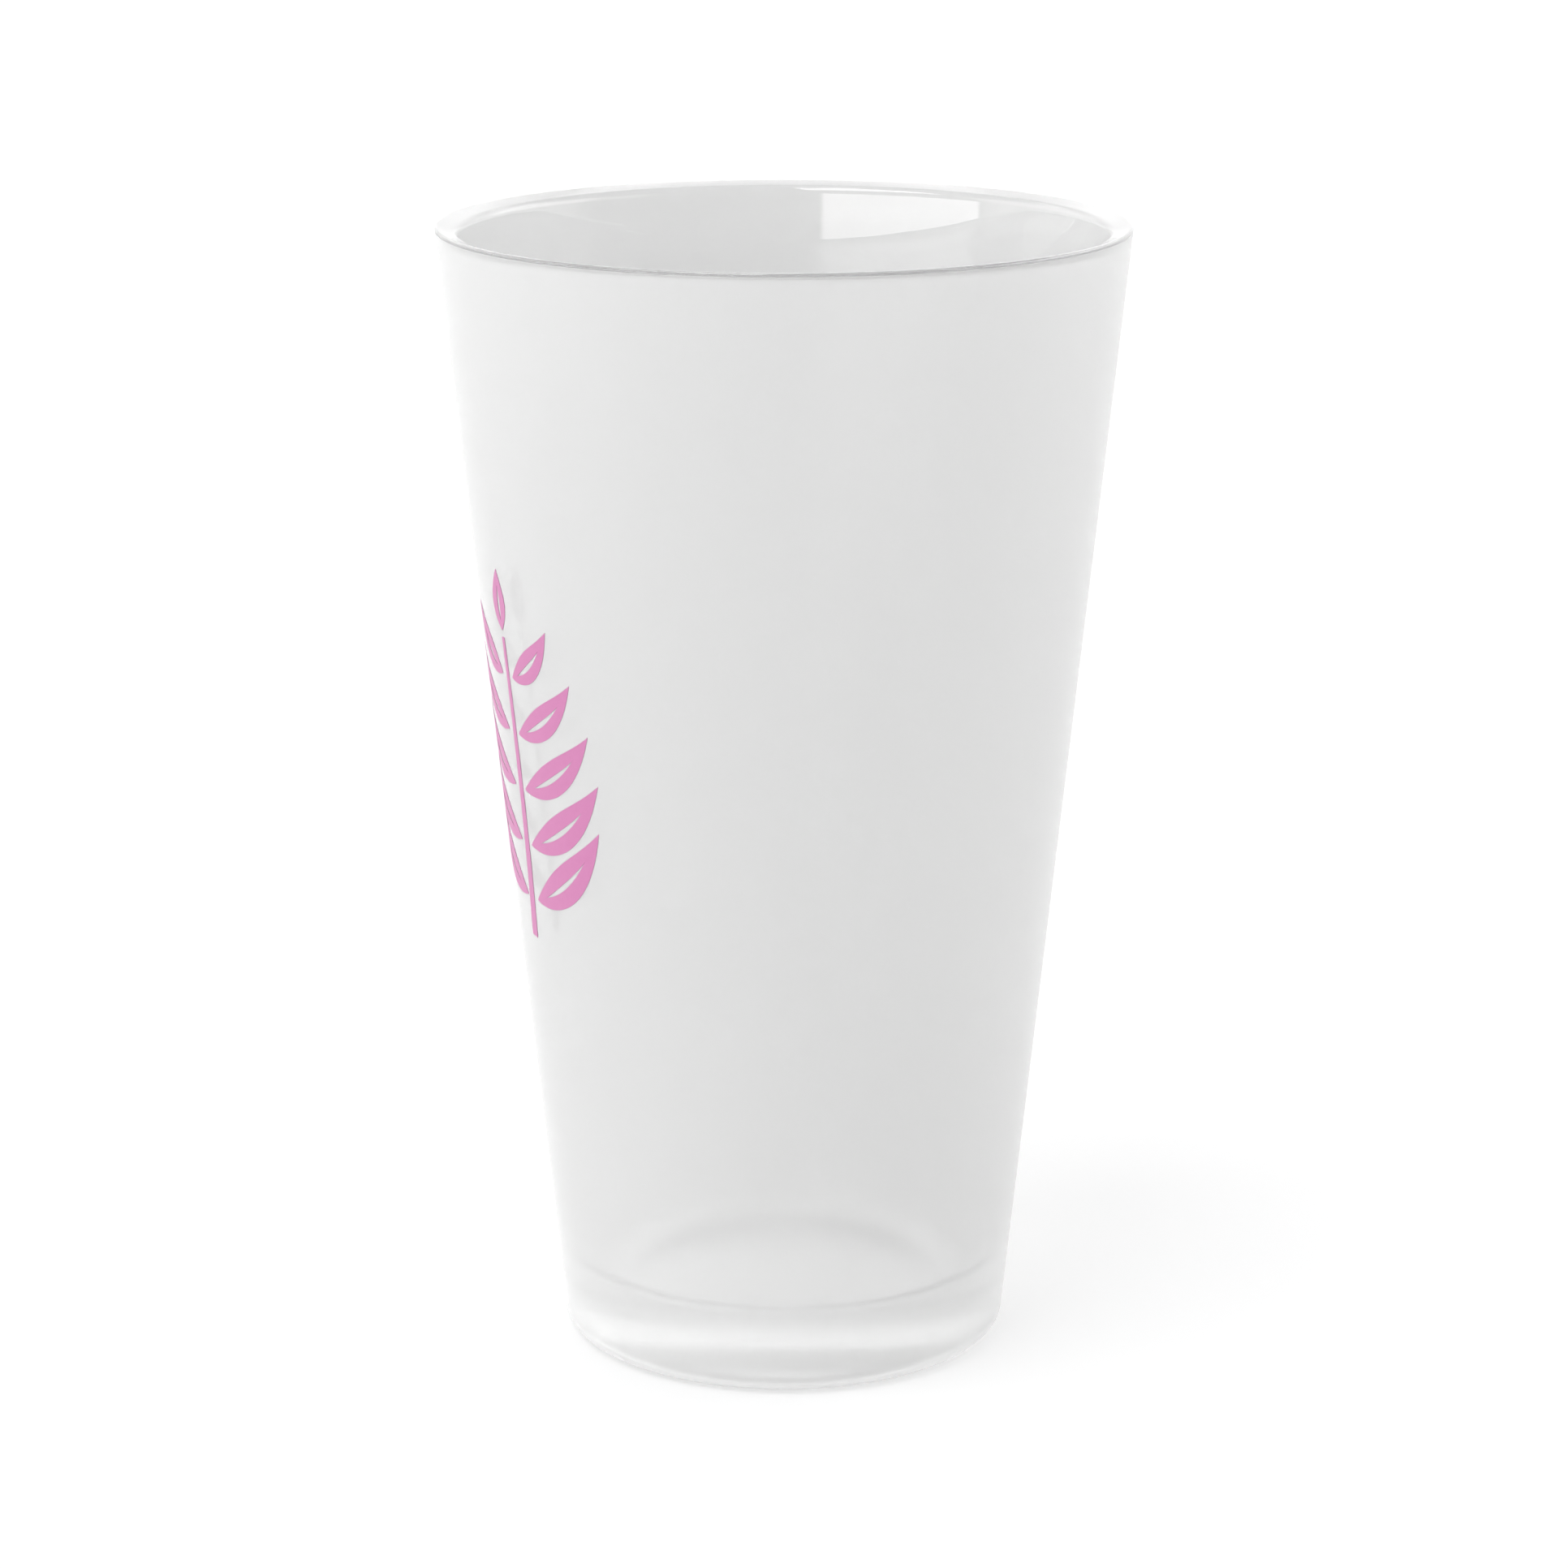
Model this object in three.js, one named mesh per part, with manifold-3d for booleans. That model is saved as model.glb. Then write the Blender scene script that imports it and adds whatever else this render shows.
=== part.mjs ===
// A 16 oz frosted pint glass: a tapered, thick-based drinking glass with a clear, fire-polished
// lip, a thin frosted coating on its outside, and a leaf sprig printed on the front of the coating.
//
// Millimetres, +Z up. The origin is the centre of the foot ring, on the plane that the glass rests
// on. The print is centred on the front, which faces -Y. Every round piece is a lathe with the
// same number of segments, so the pieces that lie on each other have parallel facets.
import * as THREE from "three";
import { mergeVertices } from "three/addons/utils/BufferGeometryUtils.js";
import Module from "manifold-3d";

const wasm = await Module();
wasm.setup();

// Outside shape. The finished wall is the outside of the coating, and of the clear lip above it.
const HEIGHT = 147.9;
const MOUTH_RADIUS = 44.45; // where the finished wall's line meets the top of the lip
const BASE_RADIUS = 28.98; // where the same line meets the resting plane
const HEEL_RADIUS = 3.1; // of the glass, between its wall and the foot ring

// Glass.
const LIP_OUTER_ROUND = 0.4;
const LIP_INNER_ROUND = 1.3;
const LIP_INNER_DROP = 0.45; // the top of the inner round is this far under the lip
const WALL_AT_LIP = 3.0;
const WALL_AT_FLOOR = 4.6;
const FLOOR_HEIGHT = 9.8; // thickness of the base at the edge of its floor
const FLOOR_ROUND = 3.2; // between the inside wall and the floor
const FLOOR_CROWN = 0.4; // the floor rises this far towards its centre
const FOOT_RING_INNER = 21.0;
const PUNT_DEPTH = 1.6; // the shallow dome under the base

// Coating and print.
const COAT = 0.1;
const COAT_BELOW_LIP = 0.5; // the coating stops this far under the top of the lip
const COAT_LAST_ANGLE = 72; // degrees below level where it stops on the heel
const INK = 0.08;
const GAP = 0.03; // between pieces that lie on each other

// The sprig, drawn flat: u runs round the glass to the right and v up, both from its centre.
const SPRIG_CENTRE_HEIGHT = 82;
const SPRIG_HALF_HEIGHT = 24.5;
const STEM_TOP = 15.6;
const STEM_WIDTH = 1.7;
const STEM_NARROWING = 0.55; // the share of its width that the stem loses towards its top
const STEM_SWAY = 0.9;
const STEM_BEND = -0.3; // the height of the stem's control point, of the sprig's half height
const TIP_LEAF_GAP = 0.9; // between the stem's end and the tip leaf's foot
const TIP_LEAF_LEAN = -0.45; // of the tip leaf's control point
const PAIRS = 5;
const FIRST_PAIR = -19.0; // of the stalks of the lowest pair
const PAIR_PITCH = 7.4;
const LEAF_START = 1.6; // from the stem's middle to a leaf's stalk
const LEAF_REACH = 17.5; // of the widest pair, from the stem's middle to the tips
const WIDEST_PAIR = 1;
const REACH_FALL = 17; // degrees per pair on a cosine, which shortens the pairs above and below
const LEAF_RISE = 12.0; // of the lowest pair
const RISE_STEP = 1.1; // each pair rises this much less than the one below
const LEAF_WIDTH = 5.0;
const WIDTH_STEP = 0.3;
const LEAF_SAG = new THREE.Vector2(0.62, 0.22); // the curve's control point, of reach and rise
const VEIN_WIDTH = 0.7; // the bare midrib down the middle of each leaf
const VEIN_FROM = 0.16; // where it starts and ends, as shares of the leaf's length
const VEIN_TO = 0.74;
const SWELL = 0.85; // a power below 1 puts the widest place of a leaf nearer its stalk

const INK_MARGIN = 1; // the ink layer reaches this far past the sprig before it is cut

const SEGMENTS = 64;
const HEEL_STEPS = 6; // enough that the coating's chords stay clear of the glass
const STROKE_STEPS = 12;

// The finished outside wall, and the same line moved in or out along its normal.
const slope = (MOUTH_RADIUS - BASE_RADIUS) / HEIGHT;
const lean = Math.atan(slope);
const wallRadius = (z) => BASE_RADIUS + slope * z;
const wallMoved = (z, distance) => wallRadius(z) + distance / Math.cos(lean);

// The centre of the heel's arc, which is tangent to the resting plane and to the glass's wall.
const heelCentre = new THREE.Vector2(
  wallMoved(HEEL_RADIUS, -COAT - GAP - HEEL_RADIUS),
  HEEL_RADIUS,
);

// The inside wall.
const insideSlope =
  (MOUTH_RADIUS - WALL_AT_LIP - wallRadius(FLOOR_HEIGHT) + WALL_AT_FLOOR) /
  (HEIGHT - FLOOR_HEIGHT);
const insideLean = Math.atan(insideSlope);
const insideRadius = (z) =>
  MOUTH_RADIUS - WALL_AT_LIP - insideSlope * (HEIGHT - z);

const coatTop = HEIGHT - COAT_BELOW_LIP;

const radians = (degrees) => (degrees * Math.PI) / 180;

// Points on an arc about a centre, from one angle to another, in radians above level.
function arc(centre, radius, from, to, steps) {
  return Array.from({ length: steps + 1 }, (_, i) => {
    const angle = from + ((to - from) * i) / steps;
    return new THREE.Vector2(
      centre.x + radius * Math.cos(angle),
      centre.y + radius * Math.sin(angle),
    );
  });
}

// A solid of revolution about Z, from a profile of (radius, height) points that goes up the
// outside and back down the inside.
function revolve(profile) {
  return new THREE.LatheGeometry(profile, SEGMENTS).rotateX(Math.PI / 2);
}

// The dome under the base, from its middle to the foot ring.
function puntProfile() {
  const radius = (FOOT_RING_INNER ** 2 + PUNT_DEPTH ** 2) / (2 * PUNT_DEPTH);
  const edge = Math.acos(FOOT_RING_INNER / radius);
  const centre = new THREE.Vector2(0, PUNT_DEPTH - radius);
  return arc(centre, radius, Math.PI / 2, edge, 4);
}

// The lip: clear of the coating's top edge, then out to the finished wall, over and inside. Its
// two rounds are joined by the line that touches both.
function lipProfile() {
  const outer = new THREE.Vector2(0, HEIGHT - LIP_OUTER_ROUND);
  outer.x = wallMoved(outer.y, -LIP_OUTER_ROUND);
  const inner = new THREE.Vector2(0, HEIGHT - LIP_INNER_DROP - LIP_INNER_ROUND);
  inner.x = insideRadius(inner.y) + LIP_INNER_ROUND / Math.cos(insideLean);
  const across = outer.clone().sub(inner);
  const touch =
    across.angle() +
    Math.acos((LIP_INNER_ROUND - LIP_OUTER_ROUND) / across.length());
  const top = Math.PI / 2;
  const inward = Math.PI - insideLean;
  return [
    new THREE.Vector2(wallMoved(coatTop, -COAT - GAP), coatTop + GAP),
    new THREE.Vector2(wallMoved(coatTop, 0), coatTop + GAP),
    ...arc(outer, LIP_OUTER_ROUND, -lean, top, 5),
    ...arc(outer, LIP_OUTER_ROUND, top, touch, 1).slice(1),
    ...arc(inner, LIP_INNER_ROUND, touch, inward, 4),
  ];
}

// The floor inside, from the round at its edge to its crowned middle.
function floorProfile() {
  const round = new THREE.Vector2(0, FLOOR_HEIGHT + FLOOR_ROUND);
  round.x = insideRadius(round.y) - FLOOR_ROUND / Math.cos(insideLean);
  const crown = [2 / 3, 1 / 3, 0].map(
    (share) =>
      new THREE.Vector2(
        round.x * share,
        FLOOR_HEIGHT + FLOOR_CROWN * (1 - share ** 2),
      ),
  );
  return [
    ...arc(round, FLOOR_ROUND, -insideLean, -Math.PI / 2, 5),
    ...crown,
  ];
}

function glassBody() {
  return revolve([
    ...puntProfile(),
    ...arc(heelCentre, HEEL_RADIUS, -Math.PI / 2, -lean, HEEL_STEPS),
    ...lipProfile(),
    ...floorProfile(),
  ]);
}

// A thin shell that follows the glass from its heel to just under the lip.
function frostedCoating() {
  const last = radians(-COAT_LAST_ANGLE);
  const inside = HEEL_RADIUS + GAP;
  const outside = inside + COAT;
  const outerHeel = arc(heelCentre, outside, last, -lean, HEEL_STEPS);
  return revolve([
    ...outerHeel,
    new THREE.Vector2(wallMoved(coatTop, 0), coatTop),
    new THREE.Vector2(wallMoved(coatTop, -COAT), coatTop),
    ...arc(heelCentre, inside, -lean, last, HEEL_STEPS),
    outerHeel[0],
  ]);
}

// A closed geometry as a solid that can be cut, and back.
function solidOf(geometry) {
  const bare = geometry.clone();
  bare.deleteAttribute("normal");
  bare.deleteAttribute("uv");
  const merged = mergeVertices(bare);
  return new wasm.Manifold(
    new wasm.Mesh({
      numProp: 3,
      vertProperties: merged.attributes.position.array,
      triVerts: new Uint32Array(merged.index.array),
    }),
  );
}

function geometryOf(solid) {
  const { vertProperties, triVerts } = solid.getMesh();
  const geometry = new THREE.BufferGeometry();
  geometry.setAttribute(
    "position",
    new THREE.BufferAttribute(vertProperties, 3),
  );
  geometry.setIndex(new THREE.BufferAttribute(triVerts, 1));
  geometry.computeVertexNormals();
  return geometry;
}

// A layer of ink all round the glass, over more than the height of the sprig.
function inkLayer() {
  const low = SPRIG_CENTRE_HEIGHT - SPRIG_HALF_HEIGHT - INK_MARGIN;
  const high = SPRIG_CENTRE_HEIGHT + SPRIG_HALF_HEIGHT + INK_MARGIN;
  const corner = (z, distance) => new THREE.Vector2(wallMoved(z, distance), z);
  return revolve([
    corner(low, GAP + INK),
    corner(high, GAP + INK),
    corner(high, GAP),
    corner(low, GAP),
    corner(low, GAP + INK),
  ]);
}

const inkSolid = solidOf(inkLayer());

// A point of the flat sprig as it stands when wrapped round the wall and seen from the front.
function wrapped(point) {
  const z = SPRIG_CENTRE_HEIGHT + point.y;
  const radius = wallRadius(z);
  return new THREE.Vector2(radius * Math.sin(point.x / radius), z);
}

// One printed patch: the part of the ink layer inside a flat outline, less a hole if it has one.
function printed(outline, hole = []) {
  const shape = new THREE.Shape(outline.map(wrapped));
  if (hole.length > 0) {
    shape.holes.push(new THREE.Path(hole.map(wrapped)));
  }
  const cutter = new THREE.ExtrudeGeometry(shape, {
    depth: MOUTH_RADIUS,
    bevelEnabled: false,
  }).rotateX(Math.PI / 2);
  return geometryOf(inkSolid.intersect(solidOf(cutter)));
}

// The outline of a stroke, anticlockwise: a stretch of a curve, with a half width that is a
// function of the share of the stretch.
function stroke(curve, halfWidth, from = 0, to = 1) {
  const right = [];
  const left = [];
  for (let i = 0; i <= STROKE_STEPS; i++) {
    const share = i / STROKE_STEPS;
    const t = from + (to - from) * share;
    const p = curve.getPoint(t);
    const along = curve.getTangent(t);
    const h = halfWidth(share);
    right.push(new THREE.Vector2(p.x + along.y * h, p.y - along.x * h));
    if (h > 0) {
      left.unshift(new THREE.Vector2(p.x - along.y * h, p.y + along.x * h));
    }
  }
  return [...right, ...left];
}

// A half width that swells from a point and narrows to a point.
function lens(width) {
  return (share) =>
    share === 0 || share === 1
      ? 0
      : 0.5 * width * Math.sin(Math.PI * share ** SWELL);
}

function leaf(curve, width) {
  return printed(
    stroke(curve, lens(width)),
    stroke(curve, lens(VEIN_WIDTH), VEIN_FROM, VEIN_TO),
  );
}

// A leaf of one pair, 0 the lowest, on the right (side 1) or the left (side -1).
function pairedLeaf(pair, side) {
  const start = new THREE.Vector2(
    side * LEAF_START,
    FIRST_PAIR + PAIR_PITCH * pair,
  );
  const shrink = Math.cos(radians(REACH_FALL * (pair - WIDEST_PAIR)));
  const reach = LEAF_REACH * shrink - LEAF_START;
  const rise = LEAF_RISE - RISE_STEP * pair;
  const offset = (shareOfReach, shareOfRise) =>
    new THREE.Vector2(side * reach * shareOfReach, rise * shareOfRise).add(
      start,
    );
  const curve = new THREE.QuadraticBezierCurve(
    start,
    offset(LEAF_SAG.x, LEAF_SAG.y),
    offset(1, 1),
  );
  return leaf(curve, LEAF_WIDTH - WIDTH_STEP * pair);
}

function tipLeaf() {
  const foot = STEM_TOP + TIP_LEAF_GAP;
  const curve = new THREE.QuadraticBezierCurve(
    new THREE.Vector2(0, foot),
    new THREE.Vector2(TIP_LEAF_LEAN, (foot + SPRIG_HALF_HEIGHT) / 2),
    new THREE.Vector2(0, SPRIG_HALF_HEIGHT),
  );
  return leaf(curve, LEAF_WIDTH - WIDTH_STEP * (PAIRS - 1));
}

function stem() {
  const curve = new THREE.QuadraticBezierCurve(
    new THREE.Vector2(-STEM_SWAY, -SPRIG_HALF_HEIGHT),
    new THREE.Vector2(STEM_SWAY, STEM_BEND * SPRIG_HALF_HEIGHT),
    new THREE.Vector2(0, STEM_TOP),
  );
  const halfWidth = (share) => 0.5 * STEM_WIDTH * (1 - STEM_NARROWING * share);
  return printed(stroke(curve, halfWidth));
}

const clearGlass = () =>
  new THREE.MeshStandardMaterial({
    color: 0xf4f6f5,
    roughness: 0.03,
    metalness: 0,
    transparent: true,
    opacity: 0.35,
  });

const frost = () =>
  new THREE.MeshStandardMaterial({
    color: 0xefefef,
    roughness: 0.6,
    metalness: 0,
    transparent: true,
    opacity: 0.7,
  });

const pinkInk = () =>
  new THREE.MeshStandardMaterial({
    color: 0xe191c8,
    roughness: 0.5,
    metalness: 0,
  });

const pintGlass = new THREE.Group();

function add(name, geometry, material) {
  const mesh = new THREE.Mesh(geometry, material);
  mesh.name = name;
  pintGlass.add(mesh);
}

add("glass_body", glassBody(), clearGlass());
add("frosted_coating", frostedCoating(), frost());
add("print_stem", stem(), pinkInk());
add("print_tip_leaf", tipLeaf(), pinkInk());
for (let pair = 0; pair < PAIRS; pair++) {
  add(`print_leaf_left_${pair + 1}`, pairedLeaf(pair, -1), pinkInk());
  add(`print_leaf_right_${pair + 1}`, pairedLeaf(pair, 1), pinkInk());
}

export default pintGlass;
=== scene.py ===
"""A frosted pint glass with a printed leaf sprig, on a white table in soft studio light.

Metres, +Z up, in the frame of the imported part. Front is -Y, where the print is. The glass and
its coating are turned finely from the part's driving dimensions, and the print is laid on the
coating. The coating's outer face and the clear glass inside it make one optical body, so the
faces where the two touch let light straight through.
"""
import math

import bmesh
import bpy
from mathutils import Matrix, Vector


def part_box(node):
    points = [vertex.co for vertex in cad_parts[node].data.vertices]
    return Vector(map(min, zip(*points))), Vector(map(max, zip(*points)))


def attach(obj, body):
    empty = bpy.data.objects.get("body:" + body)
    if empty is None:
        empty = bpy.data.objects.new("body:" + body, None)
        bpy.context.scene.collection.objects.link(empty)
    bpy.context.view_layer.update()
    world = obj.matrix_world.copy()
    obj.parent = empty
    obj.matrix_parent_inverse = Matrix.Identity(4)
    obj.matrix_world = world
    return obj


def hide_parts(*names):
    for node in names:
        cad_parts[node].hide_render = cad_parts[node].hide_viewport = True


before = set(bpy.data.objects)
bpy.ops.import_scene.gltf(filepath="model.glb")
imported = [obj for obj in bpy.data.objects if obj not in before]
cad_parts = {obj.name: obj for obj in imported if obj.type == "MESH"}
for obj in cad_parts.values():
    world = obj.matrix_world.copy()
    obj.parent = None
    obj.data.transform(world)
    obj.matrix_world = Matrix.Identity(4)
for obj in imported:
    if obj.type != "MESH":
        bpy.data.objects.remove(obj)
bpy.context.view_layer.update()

MM = 0.001

# ---------------------------------------------------------------- driving dimensions
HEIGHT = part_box("glass_body")[1].z
COAT_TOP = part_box("frosted_coating")[1].z
MOUTH_RADIUS = 44.45 * MM  # where the finished wall's line meets the top of the lip
BASE_RADIUS = 28.98 * MM  # where the same line meets the table
HEEL_RADIUS = 3.1 * MM
LIP_OUTER_ROUND = 0.4 * MM
LIP_INNER_ROUND = 1.3 * MM
LIP_INNER_DROP = 0.45 * MM
WALL_AT_LIP = 3.0 * MM
WALL_AT_FLOOR = 4.6 * MM
FLOOR_HEIGHT = 9.8 * MM
FLOOR_ROUND = 3.2 * MM
FLOOR_CROWN = 0.4 * MM
FOOT_RING_INNER = 21.0 * MM
PUNT_DEPTH = 1.6 * MM
COAT = 0.1 * MM
COAT_LAST_ANGLE = 72  # degrees below level where the coating stops on the heel
INK = 0.04 * MM
GAP = 0.03 * MM

SPRIG_CENTRE_HEIGHT = 82 * MM
SPRIG_HALF_HEIGHT = 24.5 * MM
STEM_TOP = 15.6 * MM
STEM_WIDTH = 1.7 * MM
STEM_NARROWING = 0.55
STEM_SWAY = 0.9 * MM
PAIRS = 5
FIRST_PAIR = -19.0 * MM
PAIR_PITCH = 7.4 * MM
LEAF_START = 1.6 * MM
LEAF_REACH = 17.5 * MM
WIDEST_PAIR = 1
REACH_FALL = 17  # degrees for each pair away from the widest; their cosine scales the reach
LEAF_RISE = 12.0 * MM
RISE_STEP = 1.1 * MM
LEAF_WIDTH = 5.0 * MM
WIDTH_STEP = 0.3 * MM
LEAF_SAG = (0.62, 0.22)  # the curve's middle control point, as shares of its reach and rise
STEM_BEND = -0.3
TIP_LEAF_GAP = 0.9 * MM
TIP_LEAF_LEAN = -0.5 * STEM_SWAY
SWELL = 0.85  # a power below 1 puts the widest place of a leaf nearer its stalk
VEIN_WIDTH = 0.7 * MM
VEIN_FROM = 0.16  # the vein starts and ends at these shares of the leaf's length
VEIN_TO = 0.74

SEGMENTS = 256
SHARP_ANGLE = 40  # degrees between faces, from which their edge is drawn sharp
ON_AXIS = 1e-9  # a profile point nearer the axis than this is one vertex
STROKE_STEPS = 48
LEAF_STRIPS = 3  # on each side of a leaf's vein
PUNT_STEPS = 24
FOOT_STEPS = 6
HEEL_STEPS = 14
WALL_STEPS = 40
LIP_OUTER_STEPS = 18
LIP_INNER_STEPS = 14
FLOOR_STEPS = 16
MERGE = 0.004 * MM  # points of the ink's outline that are closer than this become one
SLIVER = 0.001 * MM  # and edges that are shorter than this go

slope = (MOUTH_RADIUS - BASE_RADIUS) / HEIGHT
lean = math.atan(slope)
inside_slope = (
    MOUTH_RADIUS - WALL_AT_LIP - BASE_RADIUS - slope * FLOOR_HEIGHT + WALL_AT_FLOOR
) / (HEIGHT - FLOOR_HEIGHT)
inside_lean = math.atan(inside_slope)


def wall_radius(z, moved=0.0):
    """The finished outside wall, or the same line moved out along its normal."""
    return BASE_RADIUS + slope * z + moved / math.cos(lean)


def inside_radius(z):
    return MOUTH_RADIUS - WALL_AT_LIP - inside_slope * (HEIGHT - z)


heel_centre = (wall_radius(HEEL_RADIUS, -COAT - HEEL_RADIUS), HEEL_RADIUS)


# ---------------------------------------------------------------- turned shapes
def arc(centre, radius, start, end, steps):
    """(radius, height) points on an arc, angles in radians above level."""
    angles = [start + (end - start) * i / steps for i in range(steps + 1)]
    return [
        (centre[0] + radius * math.cos(a), centre[1] + radius * math.sin(a))
        for a in angles
    ]


def straight(start, end, steps):
    """Points between two profile points, without them, closer together near both ends."""
    shares = [0.5 - 0.5 * math.cos(math.pi * i / steps) for i in range(1, steps)]
    return [
        (start[0] + (end[0] - start[0]) * s, start[1] + (end[1] - start[1]) * s)
        for s in shares
    ]


def punt_profile():
    """The dome under the base, from its middle to the foot ring."""
    radius = (FOOT_RING_INNER**2 + PUNT_DEPTH**2) / (2 * PUNT_DEPTH)
    edge = math.acos(FOOT_RING_INNER / radius)
    return arc((0, PUNT_DEPTH - radius), radius, math.pi / 2, edge, PUNT_STEPS)


def lip_profile():
    """From the top of the coating over the lip to the inside wall."""
    outer_z = HEIGHT - LIP_OUTER_ROUND
    outer = Vector((wall_radius(outer_z, -LIP_OUTER_ROUND), outer_z))
    inner_z = HEIGHT - LIP_INNER_DROP - LIP_INNER_ROUND
    inner = Vector((inside_radius(inner_z) + LIP_INNER_ROUND / math.cos(inside_lean), inner_z))
    across = outer - inner
    touch = math.atan2(across.y, across.x) + math.acos(
        (LIP_INNER_ROUND - LIP_OUTER_ROUND) / across.length
    )
    return arc(outer, LIP_OUTER_ROUND, -lean, touch, LIP_OUTER_STEPS) + arc(
        inner, LIP_INNER_ROUND, touch, math.pi - inside_lean, LIP_INNER_STEPS
    )


def floor_profile():
    """The floor inside, from the round at its edge to its crowned middle."""
    round_z = FLOOR_HEIGHT + FLOOR_ROUND
    round_r = inside_radius(round_z) - FLOOR_ROUND / math.cos(inside_lean)
    crown = [
        (round_r * s, FLOOR_HEIGHT + FLOOR_CROWN * (1 - s**2))
        for s in [1 - i / FLOOR_STEPS for i in range(1, FLOOR_STEPS + 1)]
    ]
    edge = arc((round_r, round_z), FLOOR_ROUND, -inside_lean, -math.pi / 2, FLOOR_STEPS)
    return edge + crown


def revolve(name, profile, closed, material_at):
    """A smooth solid of revolution. material_at(i) is the slot of the band after point i."""
    bm = bmesh.new()
    rings = []
    for r, z in profile:
        if r < ON_AXIS:
            rings.append([bm.verts.new((0, 0, z))])
            continue
        turns = [2 * math.pi * k / SEGMENTS for k in range(SEGMENTS)]
        rings.append([bm.verts.new((r * math.cos(a), r * math.sin(a), z)) for a in turns])
    bands = list(zip(rings, rings[1:] + rings[:1]))
    for i, (low, high) in enumerate(bands if closed else bands[:-1]):
        for k in range(SEGMENTS):
            after = (k + 1) % SEGMENTS
            corners = [
                low[k % len(low)],
                low[after % len(low)],
                high[after % len(high)],
                high[k % len(high)],
            ]
            face = bm.faces.new(list(dict.fromkeys(corners)))
            face.smooth = True
            face.material_index = material_at(i)
    bmesh.ops.recalc_face_normals(bm, faces=bm.faces)
    return object_from(name, bm)


def object_from(name, bm):
    mesh = bpy.data.meshes.new(name)
    bm.to_mesh(mesh)
    bm.free()
    mesh.set_sharp_from_angle(angle=math.radians(SHARP_ANGLE))
    piece = bpy.data.objects.new(name, mesh)
    bpy.context.scene.collection.objects.link(piece)
    return piece


def make_glass():
    """The glass: the clear inside, lip and foot, and the band that the coating covers."""
    coat_end = math.radians(-COAT_LAST_ANGLE)
    heel_out = arc(heel_centre, HEEL_RADIUS, -math.pi / 2, coat_end, FOOT_STEPS)
    heel_up = arc(heel_centre, HEEL_RADIUS, coat_end, -lean, HEEL_STEPS)
    wall_top = (wall_radius(COAT_TOP, -COAT), COAT_TOP)
    step = (wall_radius(COAT_TOP), COAT_TOP)
    lip = lip_profile()
    floor = floor_profile()
    before = punt_profile() + heel_out
    covered = heel_up[1:] + straight(heel_up[-1], wall_top, WALL_STEPS) + [wall_top, step]
    inside = straight(lip[-1], floor[0], WALL_STEPS)
    profile = before + covered + lip + inside + floor
    first, beyond = len(before) - 1, len(before) + len(covered) - 1
    return revolve("glass", profile, False, lambda i: 1 if first <= i < beyond else 0)


def make_coating():
    """The coating, a thin shell whose inner face lies on the glass."""
    coat_end = math.radians(-COAT_LAST_ANGLE)
    outer_heel = arc(heel_centre, HEEL_RADIUS + COAT, coat_end, -lean, HEEL_STEPS)
    inner_heel = arc(heel_centre, HEEL_RADIUS, -lean, coat_end, HEEL_STEPS)
    top_out = (wall_radius(COAT_TOP), COAT_TOP)
    top_in = (wall_radius(COAT_TOP, -COAT), COAT_TOP)
    outside = outer_heel + straight(outer_heel[-1], top_out, WALL_STEPS) + [top_out]
    inside = [top_in] + straight(top_in, inner_heel[0], WALL_STEPS) + inner_heel
    return revolve(
        "frosted_coating_skin",
        outside + inside,
        True,
        lambda i: 0 if i < len(outside) - 1 else 1,
    )


# ---------------------------------------------------------------- print
def bezier(a, b, c, t):
    """A point of a quadratic curve, and its direction."""
    point = a * (1 - t) ** 2 + b * 2 * t * (1 - t) + c * t**2
    along = (b - a) * (1 - t) + (c - b) * t
    return point, along.normalized()


def lens(width, share):
    """Half the width of a leaf or vein that swells from a point and narrows to a point."""
    if share <= 0 or share >= 1:
        return 0.0
    return 0.5 * width * math.sin(math.pi * share**SWELL)


def on_wall(u, v, offset):
    """A point of the flat sprig, wrapped round the front of the wall, offset out from it."""
    z = SPRIG_CENTRE_HEIGHT + v
    angle = u / wall_radius(z)
    r = wall_radius(z, offset)
    return Vector((r * math.sin(angle), -r * math.cos(angle), z))


def printed(name, stations):
    """A patch of ink from stations, each a row of flat points across the patch.

    A row with an even number of points leaves its middle strip bare, for a leaf's vein.
    """
    bm = bmesh.new()
    rows = [[bm.verts.new((p.x, p.y, 0)) for p in row] for row in stations]
    for low, high in zip(rows, rows[1:]):
        for k in range(len(low) - 1):
            if k == len(low) // 2 - 1 and len(low) % 2 == 0:
                continue
            bm.faces.new([low[k], low[k + 1], high[k + 1], high[k]])
    bmesh.ops.remove_doubles(bm, verts=bm.verts, dist=MERGE)
    bmesh.ops.dissolve_degenerate(bm, edges=bm.edges, dist=SLIVER)
    top = bm.faces[:]
    made = bmesh.ops.duplicate(bm, geom=bm.verts[:] + bm.edges[:] + top)
    twin = made["vert_map"]
    for edge in [e for f in top for e in f.edges if e.is_boundary]:
        a, b = edge.verts
        bm.faces.new([a, b, twin[b], twin[a]])
    lower = {v for v in made["geom"] if isinstance(v, bmesh.types.BMVert)}
    for v in bm.verts:
        v.co = on_wall(v.co.x, v.co.y, GAP if v in lower else GAP + INK)
    for face in bm.faces:
        face.smooth = True
    bmesh.ops.recalc_face_normals(bm, faces=bm.faces)
    return object_from(name, bm)


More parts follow.
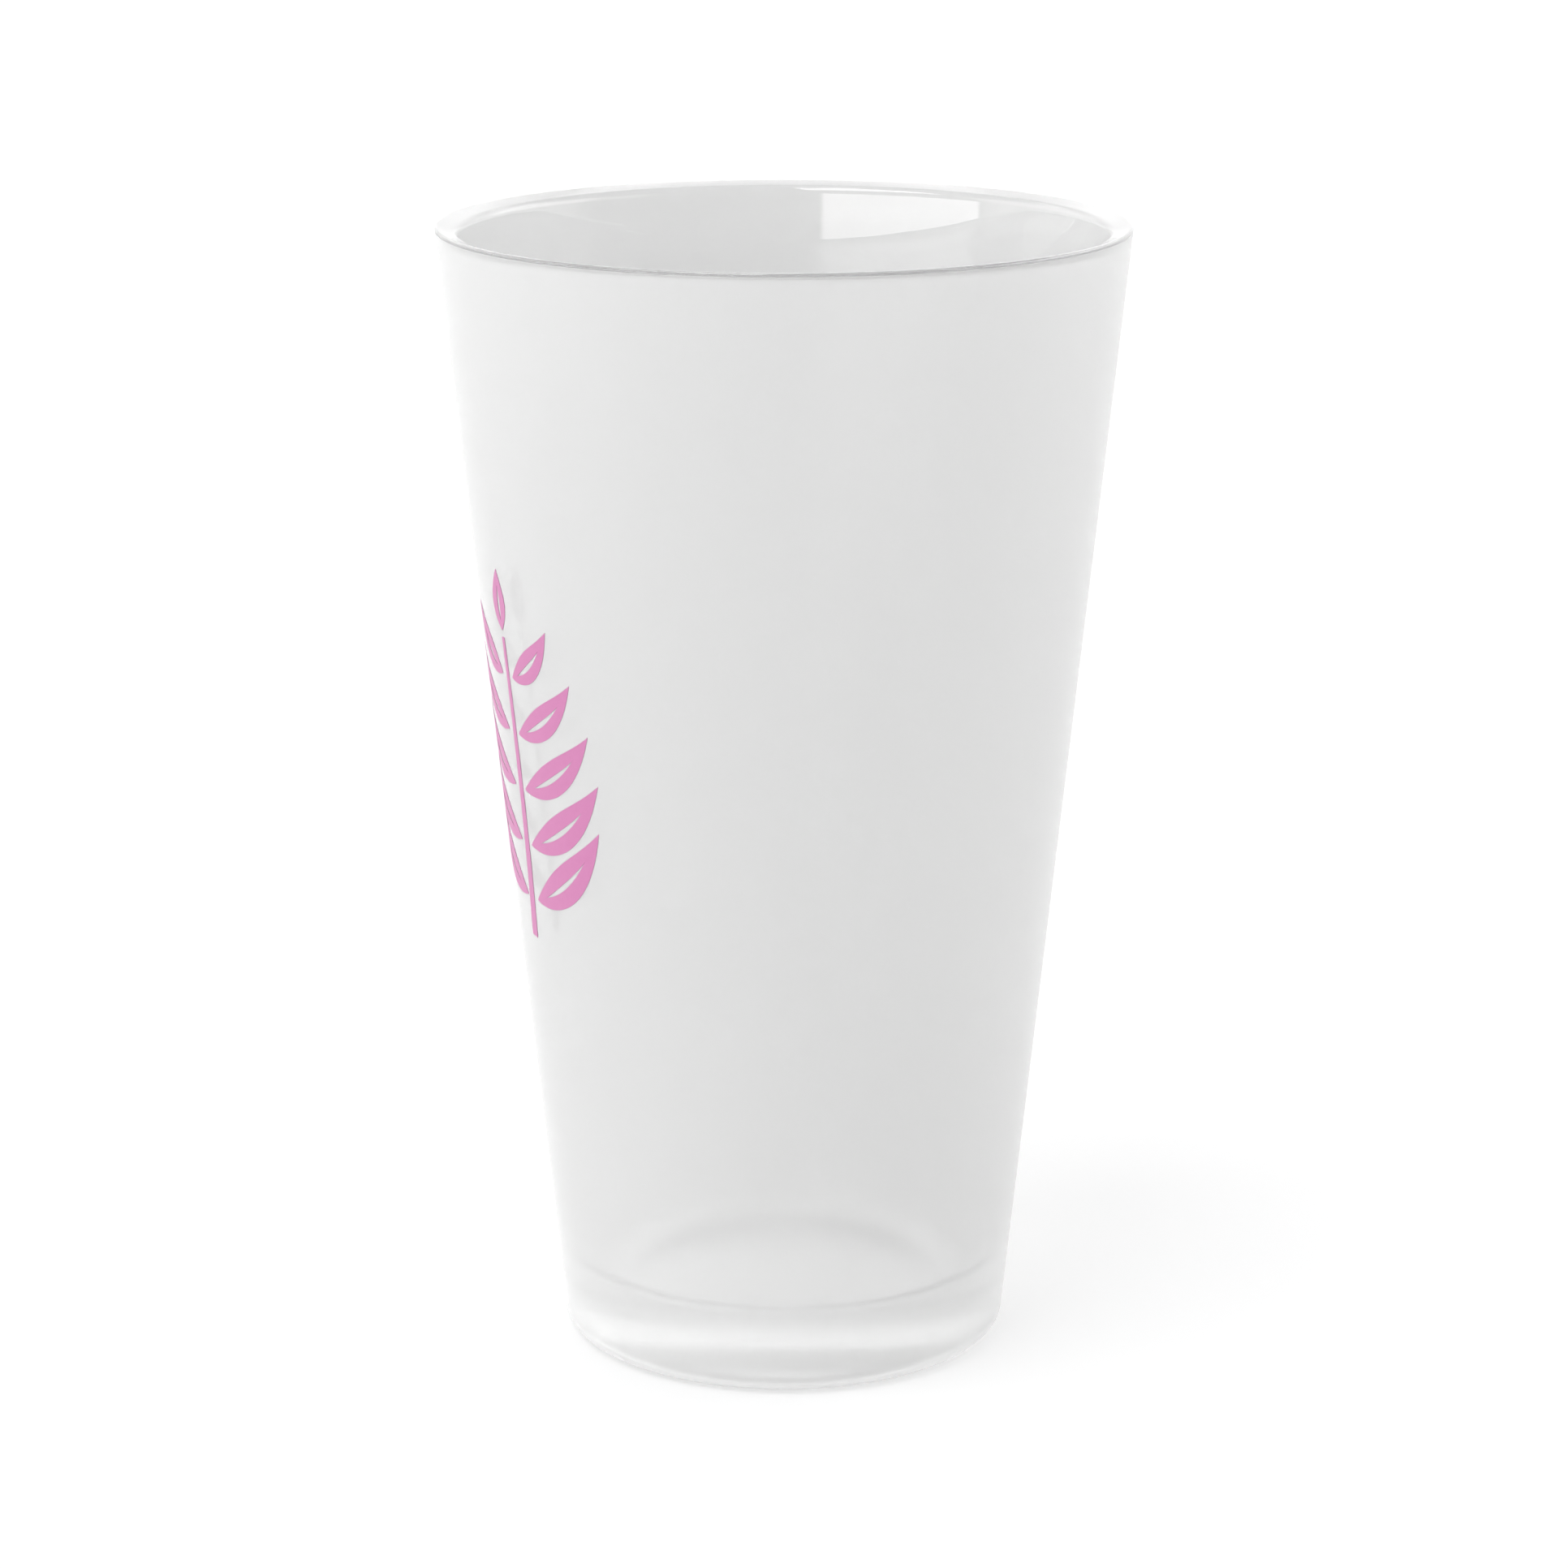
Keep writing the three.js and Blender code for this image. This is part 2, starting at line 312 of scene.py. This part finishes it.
def make_leaf(name, a, b, c, width):
    """A leaf along a curve, with a bare vein down its middle."""
    stations = []
    for i in range(STROKE_STEPS + 1):
        t = i / STROKE_STEPS
        middle, along = bezier(a, b, c, t)
        across = Vector((along.y, -along.x))
        outer = lens(width, t)
        vein = lens(VEIN_WIDTH, (t - VEIN_FROM) / (VEIN_TO - VEIN_FROM))
        half = [vein + (outer - vein) * k / LEAF_STRIPS for k in range(LEAF_STRIPS + 1)]
        reaches = [-h for h in reversed(half)] + half
        stations.append([middle + across * reach for reach in reaches])
    return printed(name, stations)


def make_paired_leaf(name, pair, side):
    start = Vector((side * LEAF_START, FIRST_PAIR + PAIR_PITCH * pair))
    shrink = math.cos(math.radians(REACH_FALL * (pair - WIDEST_PAIR)))
    reach = side * (LEAF_REACH * shrink - LEAF_START)
    rise = LEAF_RISE - RISE_STEP * pair
    middle = start + Vector((reach * LEAF_SAG[0], rise * LEAF_SAG[1]))
    return make_leaf(
        name, start, middle, start + Vector((reach, rise)), LEAF_WIDTH - WIDTH_STEP * pair
    )


def make_tip_leaf():
    foot = STEM_TOP + TIP_LEAF_GAP
    return make_leaf(
        "sprig_tip_leaf",
        Vector((0, foot)),
        Vector((TIP_LEAF_LEAN, (foot + SPRIG_HALF_HEIGHT) / 2)),
        Vector((0, SPRIG_HALF_HEIGHT)),
        LEAF_WIDTH - WIDTH_STEP * (PAIRS - 1),
    )


def make_stem():
    a = Vector((-STEM_SWAY, -SPRIG_HALF_HEIGHT))
    b = Vector((STEM_SWAY, STEM_BEND * SPRIG_HALF_HEIGHT))
    c = Vector((0, STEM_TOP))
    stations = []
    for i in range(STROKE_STEPS + 1):
        t = i / STROKE_STEPS
        middle, along = bezier(a, b, c, t)
        across = Vector((along.y, -along.x))
        half = 0.5 * STEM_WIDTH * (1 - STEM_NARROWING * t)
        stations.append([middle + across * half * s for s in (-1, 0, 1)])
    return printed("sprig_stem", stations)


# ---------------------------------------------------------------- materials
WAVES = 60  # features per metre, as are the other scales
WAVE_DEPTH = 0.02 * MM
CLOUDING = 90
FROST_ROUGHNESS = (0.22, 0.26)
FROST_GRAIN = 4000
FROST_GRAIN_DEPTH = 0.006 * MM
MOTTLE = 900
DARK_INK = (0.52, 0.17, 0.36, 1)
LIGHT_INK = (0.55, 0.19, 0.39, 1)
INK_GRAIN = 6000
INK_GRAIN_DEPTH = 0.004 * MM


def new_material(name, **values):
    """A material whose Principled shader has these plain values, and its node tree."""
    material = bpy.data.materials.new(name)
    material.use_nodes = True
    shader = material.node_tree.nodes["Principled BSDF"]
    for key, value in values.items():
        shader.inputs[key.replace("_", " ")].default_value = value
    return material, material.node_tree, shader


def noise(tree, scale, detail):
    """A noise texture in the object's own metres. scale is features per metre."""
    place = tree.nodes.new("ShaderNodeTexCoord")
    texture = tree.nodes.new("ShaderNodeTexNoise")
    texture.inputs["Scale"].default_value = scale
    texture.inputs["Detail"].default_value = detail
    tree.links.new(place.outputs["Object"], texture.inputs["Vector"])
    return texture


def spread(tree, source, low, high):
    """Maps a 0 to 1 value to a range."""
    mapped = tree.nodes.new("ShaderNodeMapRange")
    mapped.inputs["To Min"].default_value = low
    mapped.inputs["To Max"].default_value = high
    tree.links.new(source, mapped.inputs["Value"])
    return mapped.outputs["Result"]


def bump(tree, shader, height, distance):
    node = tree.nodes.new("ShaderNodeBump")
    node.inputs["Distance"].default_value = distance
    tree.links.new(height, node.inputs["Height"])
    tree.links.new(node.outputs["Normal"], shader.inputs["Normal"])


def clear_glass():
    """Pressed soda-lime glass, fire-polished, with the faint waviness of a mould."""
    material, tree, shader = new_material(
        "clear_glass",
        Base_Color=(1.0, 1.0, 1.0, 1),
        Roughness=0.0,
        IOR=1.52,
        Transmission_Weight=0.9,
    )
    bump(tree, shader, noise(tree, WAVES, 2).outputs["Fac"], WAVE_DEPTH)
    return material


def covered_glass():
    """The part of the glass under the coating: the two are one optical body there."""
    material, _, _ = new_material("covered_glass", Alpha=0.0)
    return material


def frost():
    """A satin coating: light passes and scatters, with a fine grain and faint clouding."""
    material, tree, shader = new_material(
        "frost",
        Base_Color=(0.80, 0.80, 0.80, 1),
        IOR=1.5,
        Transmission_Weight=0.5,
        Sheen_Weight=0.4,
        Sheen_Roughness=0.4,
    )
    rough = spread(tree, noise(tree, CLOUDING, 4).outputs["Fac"], *FROST_ROUGHNESS)
    tree.links.new(rough, shader.inputs["Roughness"])
    bump(tree, shader, noise(tree, FROST_GRAIN, 2).outputs["Fac"], FROST_GRAIN_DEPTH)
    return material


def pink_ink():
    """Satin ink with a faint mottle."""
    material, tree, shader = new_material("pink_ink", Roughness=0.45)
    ramp = tree.nodes.new("ShaderNodeMix")
    ramp.data_type = "RGBA"
    dark, light = [socket for socket in ramp.inputs if socket.type == "RGBA"]
    dark.default_value = DARK_INK
    light.default_value = LIGHT_INK
    tree.links.new(noise(tree, MOTTLE, 4).outputs["Fac"], ramp.inputs["Factor"])
    mixed = next(socket for socket in ramp.outputs if socket.type == "RGBA")
    tree.links.new(mixed, shader.inputs["Base Color"])
    bump(tree, shader, noise(tree, INK_GRAIN, 2).outputs["Fac"], INK_GRAIN_DEPTH)
    return material


# ---------------------------------------------------------------- camera and studio
CAMERA_AZIMUTH = 65.0  # degrees, from which the print wraps round the left of the glass
CAMERA_DISTANCE = 0.600
CAMERA_HEIGHT = 0.229
AIM_HEIGHT = 0.0741
LENS_MM = 108.4
SENSOR_MM = 36.0
CLIP_START = 0.01

FLOOR_RADIUS = 8.0
FLOOR_SEGMENTS = 128
BACKDROP = 1.05  # the world behind the table as the camera sees it, just past white
FLOOR_ALBEDO = 0.35
FLOOR_GLOW = 0.59
FILL = 0.5
# Panels of light round the studio: (middle azimuth, half width, low and high elevation, softness
# of the edge, radiance), all but the last in degrees. Azimuth 0 is the camera's, and it grows to
# the camera's right.
PANELS = [
    (-45, 31, 0, 12, 1.5, 3.6),  # the window that shows on the inside of the glass
    (180, 100, -10, 14, 8, 0.9),  # the back of the studio, dimmer along the table
    (180, 100, 14, 40, 8, 1.7),
    (95, 40, 14, 40, 8, 1.2),  # the side, which brightens the right edge of the glass
    (-45, 35, 50, 80, 1.5, 5.5),  # the key, which throws the shadow
]


def around(azimuth, distance, height):
    """A point round the glass. Azimuth 0 is in front (-Y) and 90 is to the right (+X)."""
    a = math.radians(azimuth)
    return Vector((distance * math.sin(a), -distance * math.cos(a), height))


def aim(thing, target):
    direction = Vector(target) - thing.location
    thing.rotation_euler = direction.to_track_quat("-Z", "Y").to_euler()


def make_camera():
    camera = bpy.data.objects.new("camera", bpy.data.cameras.new("camera"))
    camera.data.lens = LENS_MM
    camera.data.sensor_width = SENSOR_MM
    camera.data.clip_start = CLIP_START
    camera.location = around(CAMERA_AZIMUTH, CAMERA_DISTANCE, CAMERA_HEIGHT)
    aim(camera, (0, 0, AIM_HEIGHT))
    bpy.context.scene.collection.objects.link(camera)
    bpy.context.scene.camera = camera


def make_floor():
    """A lightbox table: it glows a little, so only a faint shadow shows on it."""
    bm = bmesh.new()
    bmesh.ops.create_circle(bm, cap_ends=True, segments=FLOOR_SEGMENTS, radius=FLOOR_RADIUS)
    floor = object_from("floor", bm)
    material, _, _ = new_material(
        "white_table",
        Base_Color=(FLOOR_ALBEDO, FLOOR_ALBEDO, FLOOR_ALBEDO, 1),
        Roughness=1.0,
        Specular_IOR_Level=0.0,
        Emission_Color=(1, 1, 1, 1),
        Emission_Strength=FLOOR_GLOW,
    )
    floor.data.materials.append(material)


def math_node(tree, operation, *values):
    """A Math node over numbers and sockets."""
    node = tree.nodes.new("ShaderNodeMath")
    node.operation = operation
    for socket, value in zip(node.inputs, values):
        if isinstance(value, bpy.types.NodeSocket):
            tree.links.new(value, socket)
        else:
            socket.default_value = value
    return node.outputs["Value"]


def soft_step(tree, value, start, end):
    """0 before start and 1 after end, with a smooth rise between them."""
    mapped = tree.nodes.new("ShaderNodeMapRange")
    mapped.interpolation_type = "SMOOTHSTEP"
    mapped.inputs["From Min"].default_value = start
    mapped.inputs["From Max"].default_value = end
    tree.links.new(value, mapped.inputs["Value"])
    return mapped.outputs["Result"]


def make_world():
    """White to the camera. To everything else, a dim studio with panels of light round it."""
    world = bpy.data.worlds.new("studio")
    world.use_nodes = True
    bpy.context.scene.world = world
    tree = world.node_tree
    place = tree.nodes.new("ShaderNodeTexCoord")
    turn = tree.nodes.new("ShaderNodeVectorRotate")
    turn.rotation_type = "Z_AXIS"
    turn.inputs["Angle"].default_value = -math.radians(CAMERA_AZIMUTH)
    tree.links.new(place.outputs["Generated"], turn.inputs["Vector"])
    split = tree.nodes.new("ShaderNodeSeparateXYZ")
    tree.links.new(turn.outputs["Vector"], split.inputs["Vector"])
    azimuth = math_node(
        tree, "ARCTAN2", split.outputs["X"], math_node(tree, "MULTIPLY", split.outputs["Y"], -1.0)
    )
    elevation = math_node(tree, "ARCSINE", split.outputs["Z"])
    radiance = FILL
    for middle, half, low, high, softness, strength in PANELS:
        gap = math_node(tree, "SUBTRACT", azimuth, math.radians(middle))
        away = math_node(tree, "ABSOLUTE", math_node(tree, "WRAP", gap, math.pi, -math.pi))
        edge, reach = math.radians(softness), math.radians(half)
        lit = math_node(
            tree,
            "MULTIPLY",
            math_node(tree, "SUBTRACT", 1.0, soft_step(tree, away, reach - edge, reach + edge)),
            math_node(
                tree,
                "SUBTRACT",
                soft_step(tree, elevation, math.radians(low) - edge, math.radians(low) + edge),
                soft_step(tree, elevation, math.radians(high) - edge, math.radians(high) + edge),
            ),
        )
        radiance = math_node(tree, "MULTIPLY_ADD", lit, strength, radiance)
    path = tree.nodes.new("ShaderNodeLightPath")
    mix = tree.nodes.new("ShaderNodeMix")
    mix.inputs["B"].default_value = BACKDROP
    tree.links.new(path.outputs["Is Camera Ray"], mix.inputs["Factor"])
    tree.links.new(radiance, mix.inputs["A"])
    tree.links.new(mix.outputs["Result"], tree.nodes["Background"].inputs["Strength"])
    tree.nodes["Background"].inputs["Color"].default_value = (1, 1, 1, 1)


def make_studio():
    make_floor()
    make_world()


# ---------------------------------------------------------------- assembly
def finish_piece(piece, nodes, materials):
    for material in materials:
        piece.data.materials.append(material)
    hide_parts(*nodes)
    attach(piece, "root")


scene = bpy.context.scene
scene.view_settings.view_transform = "Standard"
scene.cycles.max_bounces = 24
scene.cycles.transmission_bounces = 24
scene.cycles.glossy_bounces = 12
scene.cycles.transparent_max_bounces = 64

make_camera()
make_studio()

clear, covered, satin, ink = clear_glass(), covered_glass(), frost(), pink_ink()
finish_piece(make_glass(), ["glass_body"], [clear, covered])
finish_piece(make_coating(), ["frosted_coating"], [satin, covered])
finish_piece(make_stem(), ["print_stem"], [ink])
finish_piece(make_tip_leaf(), ["print_tip_leaf"], [ink])
for pair in range(PAIRS):
    for side, word in ((-1, "left"), (1, "right")):
        leaf = make_paired_leaf(f"sprig_leaf_{word}_{pair + 1}", pair, side)
        finish_piece(leaf, [f"print_leaf_{word}_{pair + 1}"], [ink])
